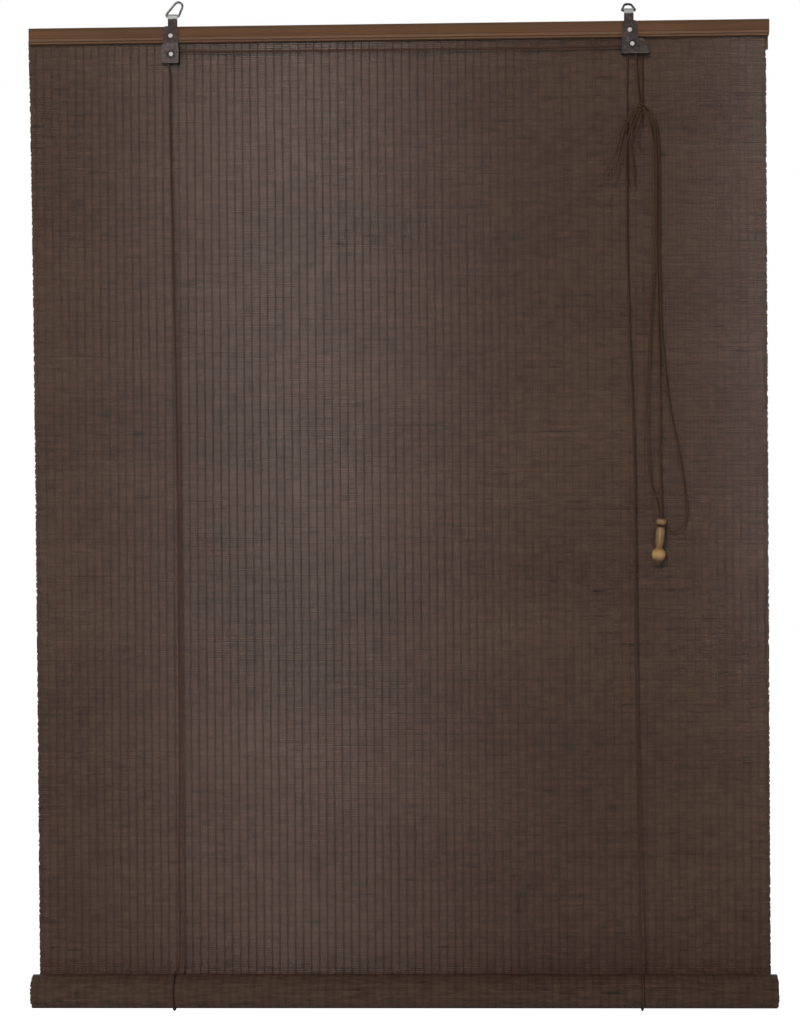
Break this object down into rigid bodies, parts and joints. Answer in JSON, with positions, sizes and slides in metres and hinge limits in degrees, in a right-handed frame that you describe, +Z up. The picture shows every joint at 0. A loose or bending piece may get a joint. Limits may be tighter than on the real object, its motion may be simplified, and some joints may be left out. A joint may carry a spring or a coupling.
{
  "type": "roll-up blind",
  "caption": "Reed mat clamped between two battens and rolled up from below by two cords, with a self-locking pulley and a turned knob.",
  "frame": {"origin": "middle of the width, in the middle of the mat's thickness, at the height where an upright hanging ring bears on its hook", "axes": "+Z up, +X along the rail to the lock's side, the front of the blind faces -Y"},
  "size_m": [0.904, 0.0558, 1.2292],
  "materials": {
    "rail_wood": "brown stained and varnished softwood",
    "batten_wood": "brown stained board",
    "reed": "dark stained split reeds, matt",
    "rolled_reed": "dark stained split reeds, matt",
    "dowel_wood": "bare dowel",
    "dark_steel": "dark plated sheet steel",
    "grey_steel": "plated sheet steel",
    "wheel_steel": "turned wheel",
    "bright_steel": "bright rivets",
    "ring_steel": "galvanised wire",
    "cord": "braided cord",
    "knob_wood": "turned and varnished"
  },
  "bodies": {
    "head": {"front_batten": "rail_wood", "back_batten": "batten_wood", "batten_brads": "bright_steel", "reed_mat": "reed", "left_plate": "dark_steel", "right_plate": "dark_steel", "rail_rivets": "bright_steel", "rivet_washers": "grey_steel", "left_housing": "grey_steel", "left_axle": "bright_steel", "lock_housing": "dark_steel", "lock_axle": "bright_steel", "left_front_cord": "cord", "left_back_cord": "cord", "right_front_cord": "cord", "right_back_cord": "cord", "cord_staples": "grey_steel", "cross_cord": "cord", "lock_loop_cord": "cord", "pull_cord_front": "cord", "pull_cord_rear": "cord"},
    "lift": {"left_cradle_cord": "cord", "right_cradle_cord": "cord"},
    "roll": {"rolled_mat": "rolled_reed", "roll_dowel": "dowel_wood"},
    "pull": {"pull_knot": "cord", "strand_main": "cord", "strand_slack": "cord", "strand_left": "cord", "tail_1": "cord", "tail_2": "cord", "tail_3": "cord", "tail_4": "cord", "tail_5": "cord", "knob": "knob_wood", "knob_knot": "cord"},
    "left_pulley": {"left_wheel": "wheel_steel"},
    "lock_pulley": {"lock_wheel": "wheel_steel"},
    "roller": {"lock_roller": "bright_steel"},
    "left_hanger": {"left_ring": "ring_steel"},
    "right_hanger": {"right_ring": "ring_steel"}
  },
  "joints": [
    {"name": "roll_lift", "type": "slide", "parent": "head", "child": "lift", "axis": [0, 0, 1], "range_m": [0, 1.08], "deforming": ["reed_mat", "left_front_cord", "right_front_cord", "left_back_cord", "right_back_cord"]},
    {"name": "roll_turn", "type": "hinge", "parent": "lift", "child": "roll", "pos_m": [0, -0.0205, -1.2025], "axis": [1, 0, 0], "range_deg": [-2230, 0]},
    {"name": "pull_drop", "type": "slide", "parent": "head", "child": "pull", "axis": [0, -0.12, -0.9928], "range_m": [0, 2.16], "deforming": ["pull_cord_front", "pull_cord_rear"]},
    {"name": "left_pulley_spin", "type": "hinge", "parent": "head", "child": "left_pulley", "pos_m": [-0.2755, -0.00695, -0.062], "axis": [0, 1, 0], "continuous": true},
    {"name": "lock_pulley_spin", "type": "hinge", "parent": "head", "child": "lock_pulley", "pos_m": [0.2848, -0.00695, -0.0564], "axis": [0, 1, 0], "continuous": true},
    {"name": "roller_slide", "type": "slide", "parent": "head", "child": "roller", "axis": [-0.8, 0, 0.6], "range_m": [0, 0.0018]},
    {"name": "left_ring_swing", "type": "hinge", "parent": "head", "child": "left_hanger", "pos_m": [-0.2733, -0.00975, -0.016], "axis": [1, 0, 0], "range_deg": [-90, 90]},
    {"name": "right_ring_swing", "type": "hinge", "parent": "head", "child": "right_hanger", "pos_m": [0.2806, -0.00975, -0.016], "axis": [1, 0, 0], "range_deg": [-39, 141]}
  ],
  "couplings": [
    {"joint": "roll_turn", "follows": "roll_lift", "rad_per_m": -35.7},
    {"joint": "pull_drop", "follows": "roll_lift", "ratio": 2},
    {"joint": "left_pulley_spin", "follows": "roll_lift", "rad_per_m": 476.2},
    {"joint": "lock_pulley_spin", "follows": "roll_lift", "rad_per_m": 476.2}
  ]
}
